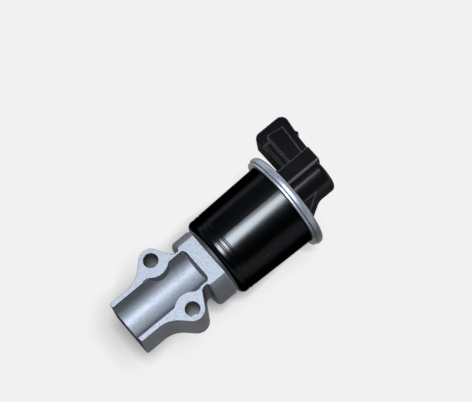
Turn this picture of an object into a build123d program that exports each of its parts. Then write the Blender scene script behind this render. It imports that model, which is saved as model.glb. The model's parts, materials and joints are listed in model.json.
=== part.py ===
# Electric exhaust gas recirculation valve: a cast aluminium base, a steel solenoid can
# and a moulded connector cap.
# Millimetres. The origin lies on the mounting face, midway between the two bolt holes.
# +X runs along the valve axis towards the connector cap, +Y towards the side socket,
# and +Z away from the mounting face.
from build123d import *
from math import cos, radians, sin, tan
import os

# Driving dimensions of the base casting
BODY_HEIGHT = 28.0
AXIS_HEIGHT = 11.0
BODY_END_X = -33.3
BOLT_SPACING = 37.0
BOLT_HOLE_RADIUS = 4.4
RAIL_HALF_WIDTH = 14.4
NECK_HALF_WIDTH = 12.7
EAR_RADIUS = 7.1
EAR_SLOW_FLANK_DEG = 45.0
EAR_STEEP_FLANK_DEG = 60.0
EAR_SLOW_BLEND = 16.0
EAR_STEEP_BLEND = 3.5
BODY_CORNER = 1.2
BODY_EDGE = 0.4
TROUGH_HALF_WIDTH = 11.35
TROUGH_DEPTH = 10.5
TROUGH_END_X = 18.1
TROUGH_END_CORNER = 3.6
TROUGH_DRAFT_DEG = 6.0
TROUGH_SIDE_MARGIN = 0.6
TROUGH_BOSS_WALL = 5.7
TROUGH_BOSS_BLEND = 4.5
FLANGE_START_X = 15.0
FLANGE_END_X = 27.0
FLANGE_RADIUS = 22.1
FLANGE_CORNER = 2.2
GAS_BORE_RADIUS = 4.9
GALLERY_RADIUS = 4.2
GALLERY_END_X = -21.5
INLET_PORT_X = -19.5
INLET_PORT_RADIUS = 4.5
OUTLET_PORT_X = 8.9
OUTLET_PORT_RADIUS = 3.2

# Driving dimensions of the valve train
SEAT_LENGTH = 4.0
SEAT_END_X = 1.0
SEAT_HOLE_RADIUS = 3.2
SEAT_CHAMFER = 0.9
LIFT = 4.0
STEM_RADIUS = 2.0
HEAD_RADIUS = 4.0
HEAD_NOSE_RADIUS = 1.6
HEAD_LENGTH = 2.4
SHIELD_DEPTH = 1.2
SHIELD_WALL = 0.5
BUSHING_START_X = 14.0
BUSHING_LENGTH = 10.0
BUSHING_CHAMFER = 0.4
STEM_SEAL_LENGTH = 2.4
CLIP_THICKNESS = 0.8
CLIP_RADIUS = 3.8
CLIP_GROOVE_DEPTH = 0.5
CLIP_MOUTH = 2.4
STEM_TIP_LENGTH = 0.4

# Driving dimensions of the solenoid
POLE_PLATE_THICKNESS = 2.2
PLATE_SETBACK = 0.7
PLATE_EDGE = 0.4
CAN_WALL = 1.4
CAN_START_RADIUS = 25.05
CAN_END_RADIUS = 26.55
CAN_CORNER = 3.2
CAN_RIM_X = 80.0
CAN_RIM_REACH = 2.25
CAN_GROOVE_XS = (34.4, 37.6)
CAN_GROOVE_DEPTH = 0.25
CAN_GROOVE_ROLL = 1.5
SCREW_CLEARANCE = 0.65
SCREW_THREAD_RADIUS = 2.0
SCREW_HEAD_RADIUS = 3.5
SCREW_HEAD_HEIGHT = 2.4
SCREW_KEY_RADIUS = 1.7
SCREW_GRIP = 8.0
SCREW_ANGLES_DEG = (30.0, 150.0, 270.0)
POLE_SLEEVE_WALL = 1.95
POLE_SLEEVE_END_X = 44.0
POLE_SLEEVE_TAPER = 4.0
POLE_SLEEVE_TIP = 0.65
GUIDE_TUBE_WALL = 0.6
ARMATURE_RADIUS = 9.2
ARMATURE_START_X = 38.0
ARMATURE_LENGTH = 22.0
ARMATURE_CHAMFER = 0.6
ARMATURE_GROOVE_RADIUS = 1.0
SPRING_POCKET_RADIUS = 5.5
ARMATURE_POCKET_DEPTH = 8.0
POLE_POCKET_DEPTH = 5.7
POLE_FLANGE_X = 74.2
POLE_FLANGE_THICKNESS = 4.0
BOBBIN_START_X = 33.6
BOBBIN_FLANGE_THICKNESS = 1.8
BOBBIN_TUBE_WALL = 1.5
WINDING_RADIUS = 20.5
SPRING_WIRE_RADIUS = 0.5
SPRING_TURNS = 6
SPRING_SIDE_GAP = 0.4
SPRING_END_GAP = 0.1

# Driving dimensions of the crimp ring
RING_START_X = 79.0
RING_WIDTH = 6.1
RING_WALL = 1.85
RING_CORNER = 2.5
RING_BEAD_WIDTH = 1.4
RING_BEAD_DROP = 0.9
RING_BEAD_CORNER = 0.7
RING_GROOVE_WIDTH = 0.2
RING_GROOVE_DEPTH = 1.2
RING_SHOULDER_CORNER = 1.1
CAP_SEAL_THICKNESS = 1.0
CAP_SEAL_WIDTH = 2.6

# Driving dimensions of the connector cap
CAP_FLANGE_THICKNESS = 1.6
CAP_DISC_SETBACK = 3.4
CAP_DISC_END_X = 85.6
CAP_DISC_CORNER = 0.8
CAP_RELIEF_WALL = 2.0
CAP_RELIEF_DEPTH = 4.8
SHOULDER_RADIUS = 19.0
SHOULDER_END_X = 97.0
SHOULDER_BLEND = 8.0
SHOULDER_HALF_HEIGHT = 8.0
TOWER_RADIUS = 12.5
TOWER_END_X = 109.7
TOWER_CORNER = 2.8
DECK_START_Y = 3.1
DECK_END_X = 110.8
DECK_END_Y = 12.8
DECK_RISE = 0.4
DECK_EDGE = 0.7
SOCKET_START_X = 91.4
SOCKET_REAR_END_X = 111.0
SOCKET_WAIST_X = 111.7
SOCKET_NUB_X = 113.3
SOCKET_NECK_X = 112.5
SOCKET_END_X = 114.4
SOCKET_STEP_Y = 23.2
SOCKET_NUB_WIDTH = 3.2
SOCKET_NUB_FLAT = 0.8
SOCKET_MOUTH_Y = 39.2
SOCKET_HALF_HEIGHT = 8.3
SOCKET_WALL = 1.9
SOCKET_FLOOR_Y = 21.0
SOCKET_MOUTH_CORNER = 4.4
SOCKET_NECK_CORNER = 1.2
SOCKET_NUB_CORNER = 0.4
SOCKET_FREE_EDGE = 3.0
SOCKET_LATCH_EDGE = 1.2
SOCKET_CAVITY_CORNER = 2.2
LATCH_PAD_X = 97.4
LATCH_PAD_WIDTHS = (9.2, 11.2)
LATCH_PAD_END_Y = 34.4
LATCH_PAD_SLANT = 1.6
LATCH_PAD_CORNER = 1.5
LATCH_PAD_RISE = 1.7
LATCH_PAD_EDGE = 0.4
LATCH_SLOT_WIDTH = 3.2
LATCH_SLOT_DEPTH = 1.2
LATCH_RIB_WIDTH = 1.7
LATCH_RIB_END_Y = 31.0
LATCH_RIB_RISE = 1.3
BLADE_COUNT = 5
BLADE_PITCH = 3.4
BLADE_WIDTH = 1.8
BLADE_THICKNESS = 0.8
BLADE_TIP_BEVEL = 0.2
BLADE_ROOT_Y = 14.0
BLADE_TIP_Y = 33.0

# Driving dimensions of the position sensor
TOWER_WALL = 3.0
SENSOR_BORE_END_X = 104.0
HOUSING_WALL = 1.5
HOUSING_END_WALL = 2.0
SENSOR_ROD_RADIUS = 1.5
CARRIAGE_START_X = 88.0
CARRIAGE_LENGTH = 5.0
CARRIAGE_SOCKET_DEPTH = 3.0
CARRIAGE_RADIUS = 5.0
CARRIAGE_FLAT = 3.4
CARD_THICKNESS = 0.8
CARD_HEIGHT = 5.0
CARD_HALF_WIDTH = 3.6
CARD_START_X = 84.0
WIPER_THICKNESS = 0.3
WIPER_WIDTH = 2.4
SENSOR_SPRING_RADIUS = 2.8
SENSOR_SPRING_WIRE_RADIUS = 0.25
SENSOR_SPRING_TURNS = 5
LEAD_CIRCLE_Y = 14.0
LEAD_HALF_SPACING = 3.0
LEAD_RADIUS = 0.6
LEAD_END_X = 89.0
LEAD_DEPTH_IN_SPOOL = 1.0

# Named clearances, and how far a cutter runs past the surface it cuts
SLIDING_FIT = 0.05
ASSEMBLY_GAP = 0.2
SEATING_GAP = 0.1
HOLE_GAP = 0.4
OVERSHOOT = 1.0
TINY = 0.01

# Sizes worked out from the driving dimensions
VALVE_AXIS = Axis((0, 0, AXIS_HEIGHT), (1, 0, 0))
EAR_Y = BOLT_SPACING / 2
SEAT_START_X = SEAT_END_X - SEAT_LENGTH
STEM_SEAL_X = BUSHING_START_X + BUSHING_LENGTH
PLATE_END_X = FLANGE_END_X + POLE_PLATE_THICKNESS
CAN_FLOOR_X = PLATE_END_X + CAN_WALL
GUIDE_TUBE_INNER = ARMATURE_RADIUS + SLIDING_FIT
GUIDE_TUBE_OUTER = GUIDE_TUBE_INNER + GUIDE_TUBE_WALL
POLE_SLEEVE_INNER = GUIDE_TUBE_OUTER + SLIDING_FIT
POLE_SLEEVE_OUTER = POLE_SLEEVE_INNER + POLE_SLEEVE_WALL
BOBBIN_TUBE_RADIUS = POLE_SLEEVE_OUTER + ASSEMBLY_GAP + BOBBIN_TUBE_WALL
SCREW_CIRCLE_RADIUS = POLE_SLEEVE_OUTER + SCREW_CLEARANCE + SCREW_HEAD_RADIUS
POLE_PLATE_RADIUS = FLANGE_RADIUS - PLATE_SETBACK
ARMATURE_END_X = ARMATURE_START_X + ARMATURE_LENGTH
POLE_FACE_X = ARMATURE_END_X + LIFT + ASSEMBLY_GAP
POLE_FLANGE_END_X = POLE_FLANGE_X + POLE_FLANGE_THICKNESS
SPRING_FLOOR_X = ARMATURE_END_X - ARMATURE_POCKET_DEPTH
SPRING_CEILING_X = POLE_FACE_X + POLE_POCKET_DEPTH
STEM_END_X = SPRING_FLOOR_X + CLIP_THICKNESS + STEM_TIP_LENGTH
CAN_RIM_END_X = CAN_RIM_X + CAN_WALL
CAN_RIM_RADIUS = CAN_END_RADIUS + CAN_RIM_REACH
RING_RADIUS = CAN_RIM_RADIUS + SEATING_GAP + RING_WALL
RING_BEAD_RADIUS = RING_RADIUS - RING_BEAD_DROP
RING_GROOVE_RADIUS = RING_RADIUS - RING_GROOVE_DEPTH
CAP_DISC_RADIUS = CAN_RIM_RADIUS - CAP_DISC_SETBACK
CAP_FLANGE_X = CAN_RIM_END_X + CAP_SEAL_THICKNESS
CAP_FLANGE_END_X = CAP_FLANGE_X + CAP_FLANGE_THICKNESS
RING_END_X = RING_START_X + RING_WIDTH
SENSOR_BORE_RADIUS = TOWER_RADIUS - TOWER_WALL
HOUSING_RADIUS = SENSOR_BORE_RADIUS - ASSEMBLY_GAP
HOUSING_END_X = SENSOR_BORE_END_X - SEATING_GAP
LEAD_START_X = POLE_FLANGE_X - LEAD_DEPTH_IN_SPOOL
CARRIAGE_END_X = CARRIAGE_START_X + CARRIAGE_LENGTH


def can_radius(x):
    """Outer radius of the tapered can at a place along the valve axis."""
    slope = (CAN_END_RADIUS - CAN_START_RADIUS) / (CAN_RIM_X - PLATE_END_X)
    return CAN_START_RADIUS + slope * (x - PLATE_END_X)


def turned(*profile):
    """Solid of revolution about the valve axis from points (x, radius)."""
    points = [(x, 0, AXIS_HEIGHT + radius) for x, radius in profile]
    return revolve(make_face(Polyline(*points, close=True)), VALVE_AXIS, 360)


def turned_soft(profile, radii):
    """As turned, with each corner of the profile rounded by its own radius."""
    points = [(x, 0, AXIS_HEIGHT + radius) for x, radius in profile]
    return revolve(make_face(FilletPolyline(*points, radius=radii, close=True)), VALVE_AXIS, 360)


def ring(start_x, end_x, inner, outer):
    """Plain washer or tube about the valve axis."""
    return turned((start_x, inner), (end_x, inner), (end_x, outer), (start_x, outer))


def disc(start_x, end_x, radius):
    """Plain round bar about the valve axis."""
    return turned((start_x, 0), (end_x, 0), (end_x, radius), (start_x, radius))


def rod_along_x(start_x, end_x, radius, y, z):
    """Round bar parallel to the valve axis through (y, z)."""
    middle = (start_x + end_x) / 2
    return Pos(middle, y, z) * Rot(0, 90, 0) * Cylinder(radius, end_x - start_x)


def block(low, high):
    """Box between its lowest and its highest corner."""
    size = [b - a for a, b in zip(low, high)]
    middle = [(a + b) / 2 for a, b in zip(low, high)]
    return Pos(*middle) * Box(*size)


def screw_places():
    """Centres (y, z) of the can screws on their circle."""
    places = []
    for angle in SCREW_ANGLES_DEG:
        y = SCREW_CIRCLE_RADIUS * cos(radians(angle))
        z = AXIS_HEIGHT + SCREW_CIRCLE_RADIUS * sin(radians(angle))
        places.append((y, z))
    return places


def ear_outline():
    """Half plan of the casting on the +Y side, from the open end to the flange."""
    slow = radians(90 + EAR_SLOW_FLANK_DEG)
    steep = radians(90 - EAR_STEEP_FLANK_DEG)
    slow_x = EAR_RADIUS * cos(slow)
    slow_y = EAR_Y + EAR_RADIUS * sin(slow)
    steep_x = EAR_RADIUS * cos(steep)
    steep_y = EAR_Y + EAR_RADIUS * sin(steep)
    slow_foot_x = slow_x - (slow_y - RAIL_HALF_WIDTH) / tan(radians(EAR_SLOW_FLANK_DEG))
    steep_foot_x = steep_x + (steep_y - NECK_HALF_WIDTH) / tan(radians(EAR_STEEP_FLANK_DEG))
    # the two flanks would meet outside the boss; the boss radius rounds that corner
    turn = EAR_SLOW_FLANK_DEG + EAR_STEEP_FLANK_DEG
    reach = EAR_RADIUS * tan(radians(turn / 2))
    apex_x = slow_x + reach * cos(radians(EAR_SLOW_FLANK_DEG))
    apex_y = slow_y + reach * sin(radians(EAR_SLOW_FLANK_DEG))
    points = [
        (BODY_END_X, 0),
        (BODY_END_X, RAIL_HALF_WIDTH),
        (slow_foot_x, RAIL_HALF_WIDTH),
        (apex_x, apex_y),
        (steep_foot_x, NECK_HALF_WIDTH),
        (FLANGE_END_X, NECK_HALF_WIDTH),
        (FLANGE_END_X, 0),
    ]
    radii = [0, BODY_CORNER, EAR_SLOW_BLEND, EAR_RADIUS, EAR_STEEP_BLEND, 0, 0]
    return make_face(FilletPolyline(*points, radius=radii, close=True))


def trough_cutter():
    """Half-round channel with a closed, drafted end, narrowed by the two bolt bosses."""
    radius = (TROUGH_HALF_WIDTH ** 2 + TROUGH_DEPTH ** 2) / (2 * TROUGH_DEPTH)
    centre_z = BODY_HEIGHT - TROUGH_DEPTH + radius
    start = BODY_END_X - radius
    channel = rod_along_x(start, TROUGH_END_X + radius, radius, 0, centre_z)
    half = TROUGH_HALF_WIDTH + TROUGH_SIDE_MARGIN
    plan = Rectangle(TROUGH_END_X - start, 2 * half, align=(Align.MIN, Align.CENTER))
    plan = Pos(start, 0, BODY_HEIGHT) * plan
    plan = fillet(plan.vertices().sort_by(Axis.X)[-2:], TROUGH_END_CORNER)
    for side in (1, -1):
        plan = plan - Pos(0, side * EAR_Y, BODY_HEIGHT) * Circle(BOLT_HOLE_RADIUS + TROUGH_BOSS_WALL)
    creases = [v for v in plan.vertices() if abs(abs(v.Y) - half) < TINY and abs(v.X) < EAR_Y / 2]
    plan = fillet(creases, TROUGH_BOSS_BLEND)
    return channel & extrude(plan, amount=-TROUGH_DEPTH - OVERSHOOT, taper=TROUGH_DRAFT_DEG)


def base_casting():
    """Die casting with ears, soft-edged trough, flange, gas bores, bolt holes and screw holes."""
    half_plan = ear_outline()
    body = extrude(half_plan + mirror(half_plan, Plane.XZ), amount=BODY_HEIGHT)
    body = fillet(body.faces().sort_by(Axis.Z)[-1].edges(), BODY_EDGE)
    flange = turned_soft(
        [
            (FLANGE_START_X, 0),
            (FLANGE_END_X, 0),
            (FLANGE_END_X, FLANGE_RADIUS),
            (FLANGE_START_X, FLANGE_RADIUS),
        ],
        [0, 0, 0, FLANGE_CORNER],
    )
    above = block(
        (FLANGE_START_X, -FLANGE_RADIUS, BODY_HEIGHT),
        (FLANGE_END_X, FLANGE_RADIUS, BODY_HEIGHT + FLANGE_RADIUS),
    )
    body = body + (flange - above)
    body = body - trough_cutter()
    rim = [
        edge
        for edge in body.edges()
        if abs(edge.center().Z - BODY_HEIGHT) < TINY
        and abs(edge.center().Y) < TROUGH_HALF_WIDTH + TINY
        and edge.center().X < TROUGH_END_X + TINY
    ]
    body = fillet(rim, BODY_EDGE)
    body = body - disc(SEAT_START_X, FLANGE_END_X, GAS_BORE_RADIUS)
    body = body - disc(GALLERY_END_X, SEAT_START_X, GALLERY_RADIUS)
    for x, radius in ((INLET_PORT_X, INLET_PORT_RADIUS), (OUTLET_PORT_X, OUTLET_PORT_RADIUS)):
        body = body - Pos(x, 0, AXIS_HEIGHT / 2) * Cylinder(radius, AXIS_HEIGHT)
    for side in (1, -1):
        body = body - Pos(0, side * EAR_Y, BODY_HEIGHT / 2) * Cylinder(BOLT_HOLE_RADIUS, BODY_HEIGHT)
    for y, z in screw_places():
        body = body - rod_along_x(FLANGE_END_X - SCREW_GRIP, FLANGE_END_X, SCREW_THREAD_RADIUS, y, z)
    return body


def valve_seat():
    """Ring pressed into the gas bore, with a 45 degree seat towards the solenoid."""
    return turned(
        (SEAT_START_X, SEAT_HOLE_RADIUS),
        (SEAT_END_X - SEAT_CHAMFER, SEAT_HOLE_RADIUS),
        (SEAT_END_X, SEAT_HOLE_RADIUS + SEAT_CHAMFER),
        (SEAT_END_X, GAS_BORE_RADIUS),
        (SEAT_START_X, GAS_BORE_RADIUS),
    )


def pintle():
    """Conical valve head and long stem with a clip groove."""
    face_x = SEAT_END_X - SEAT_CHAMFER + HEAD_RADIUS - SEAT_HOLE_RADIUS + SEATING_GAP
    nose_x = face_x - (HEAD_RADIUS - HEAD_NOSE_RADIUS)
    neck_x = face_x + HEAD_LENGTH
    groove_radius = STEM_RADIUS - CLIP_GROOVE_DEPTH
    return turned(
        (nose_x, 0),
        (nose_x, HEAD_NOSE_RADIUS),
        (face_x, HEAD_RADIUS),
        (neck_x, HEAD_RADIUS),
        (neck_x + HEAD_RADIUS - STEM_RADIUS, STEM_RADIUS),
        (SPRING_FLOOR_X, STEM_RADIUS),
        (SPRING_FLOOR_X, groove_radius),
        (SPRING_FLOOR_X + CLIP_THICKNESS, groove_radius),
        (SPRING_FLOOR_X + CLIP_THICKNESS, STEM_RADIUS),
        (STEM_END_X, STEM_RADIUS),
        (STEM_END_X, 0),
    )


def stem_clip():
    """Open retaining clip in the stem's groove."""
    groove_radius = STEM_RADIUS - CLIP_GROOVE_DEPTH
    clip = ring(SPRING_FLOOR_X, SPRING_FLOOR_X + CLIP_THICKNESS, groove_radius, CLIP_RADIUS)
    mouth = block(
        (SPRING_FLOOR_X, -CLIP_MOUTH / 2, AXIS_HEIGHT),
        (SPRING_FLOOR_X + CLIP_THICKNESS, CLIP_MOUTH / 2, AXIS_HEIGHT + CLIP_RADIUS),
    )
    return clip - mouth


def stem_shield():
    """Thin cup that keeps deposits off the bushing."""
    start_x = BUSHING_START_X - SHIELD_DEPTH
    hole = STEM_RADIUS + HOLE_GAP
    return turned(
        (start_x, hole),
        (start_x + SHIELD_WALL, hole),
        (start_x + SHIELD_WALL, GAS_BORE_RADIUS - SHIELD_WALL),
        (BUSHING_START_X, GAS_BORE_RADIUS - SHIELD_WALL),
        (BUSHING_START_X, GAS_BORE_RADIUS),
        (start_x, GAS_BORE_RADIUS),
    )


def stem_bushing():
    """Guide bushing for the stem, chamfered at both mouths."""
    bore = STEM_RADIUS + SLIDING_FIT
    return turned(
        (BUSHING_START_X, bore + BUSHING_CHAMFER),
        (BUSHING_START_X + BUSHING_CHAMFER, bore),
        (STEM_SEAL_X - BUSHING_CHAMFER, bore),
        (STEM_SEAL_X, bore + BUSHING_CHAMFER),
        (STEM_SEAL_X, GAS_BORE_RADIUS),
        (BUSHING_START_X, GAS_BORE_RADIUS),
    )


def stem_seal():
    """Soft ring above the bushing."""
    return ring(STEM_SEAL_X, STEM_SEAL_X + STEM_SEAL_LENGTH, STEM_RADIUS + SLIDING_FIT, GAS_BORE_RADIUS)


def pole_plate():
    """Steel disc between the casting and the can, with a stem hole and screw holes."""
    edge = PLATE_EDGE
    plate = turned(
        (FLANGE_END_X, STEM_RADIUS + HOLE_GAP),
        (PLATE_END_X, STEM_RADIUS + HOLE_GAP),
        (PLATE_END_X, POLE_PLATE_RADIUS - edge),
        (PLATE_END_X - edge, POLE_PLATE_RADIUS),
        (FLANGE_END_X + edge, POLE_PLATE_RADIUS),
        (FLANGE_END_X, POLE_PLATE_RADIUS - edge),
    )
    for y, z in screw_places():
        plate = plate - rod_along_x(FLANGE_END_X, PLATE_END_X, SCREW_THREAD_RADIUS + HOLE_GAP, y, z)
    return plate


def can_screws():
    """Socket screws that pull the can and the pole plate onto the casting."""
    screws = []
    for y, z in screw_places():
        shank = rod_along_x(FLANGE_END_X - SCREW_GRIP, CAN_FLOOR_X, SCREW_THREAD_RADIUS, y, z)
        head_end_x = CAN_FLOOR_X + SCREW_HEAD_HEIGHT
        head = rod_along_x(CAN_FLOOR_X, head_end_x, SCREW_HEAD_RADIUS, y, z)
        key = Plane(origin=(head_end_x, y, z), z_dir=(-1, 0, 0)) * RegularPolygon(SCREW_KEY_RADIUS, 6)
        screws.append(shank + head - extrude(key, amount=SCREW_HEAD_HEIGHT / 2))
    return Compound(children=screws)


def solenoid_can():
    """Drawn steel cup with a slight taper, two rolled grooves and an outward rim."""
    hole = POLE_SLEEVE_OUTER + SLIDING_FIT
    can = turned_soft(
        [
            (PLATE_END_X, hole),
            (PLATE_END_X, can_radius(PLATE_END_X)),
            (CAN_RIM_X, can_radius(CAN_RIM_X)),
            (CAN_RIM_X, CAN_RIM_RADIUS),
            (CAN_RIM_END_X, CAN_RIM_RADIUS),
            (CAN_RIM_END_X, can_radius(CAN_RIM_END_X) - CAN_WALL),
            (CAN_FLOOR_X, can_radius(CAN_FLOOR_X) - CAN_WALL),
            (CAN_FLOOR_X, hole),
        ],
        [0, CAN_CORNER, 0, 0, 0, 0, CAN_CORNER - CAN_WALL, 0],
    )
    for x in CAN_GROOVE_XS:
        roller = Torus(can_radius(x) + CAN_GROOVE_ROLL - CAN_GROOVE_DEPTH, CAN_GROOVE_ROLL)
        can = can - Pos(x, 0, AXIS_HEIGHT) * Rot(0, 90, 0) * roller
    for y, z in screw_places():
        can = can - rod_along_x(PLATE_END_X, CAN_FLOOR_X, SCREW_THREAD_RADIUS + HOLE_GAP, y, z)
    return can


def coil_cushion():
    """Rubber ring that presses the bobbin against the upper pole."""
    inner = SCREW_CIRCLE_RADIUS + SCREW_HEAD_RADIUS + ASSEMBLY_GAP
    outer = can_radius(CAN_FLOOR_X) - CAN_CORNER - ASSEMBLY_GAP
    return ring(CAN_FLOOR_X, BOBBIN_START_X, inner, outer)


def pole_sleeve():
    """Lower flux sleeve round the guide tube, tapered towards the air gap."""
    return turned(
        (PLATE_END_X, POLE_SLEEVE_INNER),
        (POLE_SLEEVE_END_X, POLE_SLEEVE_INNER),
        (POLE_SLEEVE_END_X, POLE_SLEEVE_INNER + POLE_SLEEVE_TIP),
        (POLE_SLEEVE_END_X - POLE_SLEEVE_TAPER, POLE_SLEEVE_OUTER),
        (PLATE_END_X, POLE_SLEEVE_OUTER),
    )


def guide_tube():
    """Thin non-magnetic tube in which the armature slides."""
    return ring(PLATE_END_X, POLE_FLANGE_X, GUIDE_TUBE_INNER, GUIDE_TUBE_OUTER)


def armature():
    """Plunger with a stem bore, a spring pocket and four pressure grooves."""
    body = turned(
        (ARMATURE_START_X, STEM_RADIUS),
        (SPRING_FLOOR_X, STEM_RADIUS),
        (SPRING_FLOOR_X, SPRING_POCKET_RADIUS),
        (ARMATURE_END_X, SPRING_POCKET_RADIUS),
        (ARMATURE_END_X, ARMATURE_RADIUS - ARMATURE_CHAMFER),
        (ARMATURE_END_X - ARMATURE_CHAMFER, ARMATURE_RADIUS),
        (ARMATURE_START_X + ARMATURE_CHAMFER, ARMATURE_RADIUS),
        (ARMATURE_START_X, ARMATURE_RADIUS - ARMATURE_CHAMFER),
    )
    for quarter in range(4):
        y = ARMATURE_RADIUS * cos(radians(90 * quarter))
        z = AXIS_HEIGHT + ARMATURE_RADIUS * sin(radians(90 * quarter))
        body = body - rod_along_x(ARMATURE_START_X, ARMATURE_END_X, ARMATURE_GROOVE_RADIUS, y, z)
    return body


def upper_pole():
    """Fixed core that the armature is pulled towards, in one piece with its plate."""
    core_radius = GUIDE_TUBE_INNER - SLIDING_FIT
    plate_radius = can_radius(POLE_FLANGE_X) - CAN_WALL - ASSEMBLY_GAP
    rod_hole = SENSOR_ROD_RADIUS + HOLE_GAP
    pole = turned(
        (POLE_FACE_X, SPRING_POCKET_RADIUS),
        (SPRING_CEILING_X, SPRING_POCKET_RADIUS),
        (SPRING_CEILING_X, rod_hole),
        (POLE_FLANGE_END_X, rod_hole),
        (POLE_FLANGE_END_X, plate_radius),
        (POLE_FLANGE_X, plate_radius),
        (POLE_FLANGE_X, core_radius),
        (POLE_FACE_X, core_radius),
    )
    for z in lead_heights():
        hole = rod_along_x(POLE_FLANGE_X, POLE_FLANGE_END_X, LEAD_RADIUS + HOLE_GAP, LEAD_CIRCLE_Y, z)
        pole = pole - hole
    return pole


def lead_heights():
    """Heights of the two coil leads."""
    return (AXIS_HEIGHT - LEAD_HALF_SPACING, AXIS_HEIGHT + LEAD_HALF_SPACING)


def bobbin():
    """Spool with a stepped bore and two flanges."""
    wide = POLE_SLEEVE_OUTER + ASSEMBLY_GAP
    narrow = GUIDE_TUBE_OUTER + ASSEMBLY_GAP
    step_x = POLE_SLEEVE_END_X + ASSEMBLY_GAP
    flange_radius = can_radius(BOBBIN_START_X) - CAN_WALL - ASSEMBLY_GAP
    spool = turned(
        (BOBBIN_START_X, wide),
        (step_x, wide),
        (step_x, narrow),
        (POLE_FLANGE_X, narrow),
        (POLE_FLANGE_X, flange_radius),
        (POLE_FLANGE_X - BOBBIN_FLANGE_THICKNESS, flange_radius),
        (POLE_FLANGE_X - BOBBIN_FLANGE_THICKNESS, BOBBIN_TUBE_RADIUS),
        (BOBBIN_START_X + BOBBIN_FLANGE_THICKNESS, BOBBIN_TUBE_RADIUS),
        (BOBBIN_START_X + BOBBIN_FLANGE_THICKNESS, flange_radius),
        (BOBBIN_START_X, flange_radius),
    )
    for z in lead_heights():
        spool = spool - rod_along_x(LEAD_START_X, POLE_FLANGE_X, LEAD_RADIUS, LEAD_CIRCLE_Y, z)
    return spool


def coil_winding():
    """Copper winding that fills the spool up to its outer layer."""
    start_x = BOBBIN_START_X + BOBBIN_FLANGE_THICKNESS
    return ring(start_x, POLE_FLANGE_X - BOBBIN_FLANGE_THICKNESS, BOBBIN_TUBE_RADIUS, WINDING_RADIUS)


def coil_spring(start_x, end_x, radius, wire_radius, turns):
    """Compression spring along the valve axis between two seats."""
    length = end_x - start_x - 2 * wire_radius - SPRING_END_GAP
    centre = (start_x + wire_radius + SPRING_END_GAP / 2, 0, AXIS_HEIGHT)
    path = Helix(length / turns, length, radius, center=centre, direction=(1, 0, 0))
    section = Plane(origin=path @ 0, z_dir=path % 0) * Circle(wire_radius)
    return sweep(section, path, is_frenet=True)


def return_spring():
    """Spring that holds the valve shut."""
    radius = SPRING_POCKET_RADIUS - SPRING_SIDE_GAP - SPRING_WIRE_RADIUS
    return coil_spring(SPRING_FLOOR_X, SPRING_CEILING_X, radius, SPRING_WIRE_RADIUS, SPRING_TURNS)


def crimp_ring():
    """Rolled ring with a small bead, closed over the rims of can and cap."""
    bead_end_x = RING_START_X + RING_BEAD_WIDTH
    groove_x = bead_end_x + RING_GROOVE_WIDTH
    can_lip = can_radius(CAN_RIM_X) + ASSEMBLY_GAP
    cap_lip = CAP_DISC_RADIUS + ASSEMBLY_GAP
    cavity = CAN_RIM_RADIUS + SEATING_GAP
    return turned_soft(
        [
            (RING_START_X, can_lip),
            (RING_START_X, RING_BEAD_RADIUS),
            (bead_end_x, RING_BEAD_RADIUS),
            (groove_x, RING_GROOVE_RADIUS),
            (groove_x, RING_RADIUS),
            (RING_END_X, RING_RADIUS),
            (RING_END_X, cap_lip),
            (CAP_FLANGE_END_X, cap_lip),
            (CAP_FLANGE_END_X, cavity),
            (CAN_RIM_X, cavity),
            (CAN_RIM_X, can_lip),
        ],
        [0, RING_BEAD_CORNER, 0, 0, RING_SHOULDER_CORNER, RING_CORNER, 0, 0, 0, 0, 0],
    )


def cap_seal():
    """Flat seal between the rims."""
    return ring(CAN_RIM_END_X, CAP_FLANGE_X, CAN_RIM_RADIUS - CAP_SEAL_WIDTH, CAN_RIM_RADIUS)


def cap_body():
    """Hollow spigot, rim, disc and round tower of the cap, with a flat flared shoulder at each side."""
    spigot = can_radius(POLE_FLANGE_END_X) - CAN_WALL - ASSEMBLY_GAP
    start_x = POLE_FLANGE_END_X
    base = turned_soft(
        [
            (start_x, 0),
            (start_x, spigot),
            (CAP_FLANGE_X, spigot),
            (CAP_FLANGE_X, CAN_RIM_RADIUS),
            (CAP_FLANGE_END_X, CAN_RIM_RADIUS),
            (CAP_FLANGE_END_X, CAP_DISC_RADIUS),
            (CAP_DISC_END_X, CAP_DISC_RADIUS),
            (CAP_DISC_END_X, 0),
        ],
        [0, 0, 0, 0, 0, 0, CAP_DISC_CORNER, 0],
    )
    shoulder = turned_soft(
        [
            (CAP_FLANGE_END_X, 0),
            (CAP_FLANGE_END_X, SHOULDER_RADIUS),
            (CAP_DISC_END_X, SHOULDER_RADIUS),
            (SHOULDER_END_X, TOWER_RADIUS),
            (TOWER_END_X, TOWER_RADIUS),
            (TOWER_END_X, 0),
        ],
        [0, 0, 0, SHOULDER_BLEND, TOWER_CORNER, 0],
    )
    reach = SHOULDER_RADIUS + OVERSHOOT
    slab = block(
        (CAP_FLANGE_END_X, -reach, AXIS_HEIGHT - SHOULDER_HALF_HEIGHT),
        (TOWER_END_X, reach, AXIS_HEIGHT + SHOULDER_HALF_HEIGHT),
    )
    tower = turned_soft(
        [
            (CAP_FLANGE_END_X, 0),
            (CAP_FLANGE_END_X, TOWER_RADIUS),
            (TOWER_END_X, TOWER_RADIUS),
            (TOWER_END_X, 0),
        ],
        [0, 0, TOWER_CORNER, 0],
    )
    relief = ring(
        start_x,
        start_x + CAP_RELIEF_DEPTH,
        SENSOR_BORE_RADIUS + CAP_RELIEF_WALL,
        spigot - CAP_RELIEF_WALL,
    )
    return base + (shoulder & slab) + tower - relief


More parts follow.
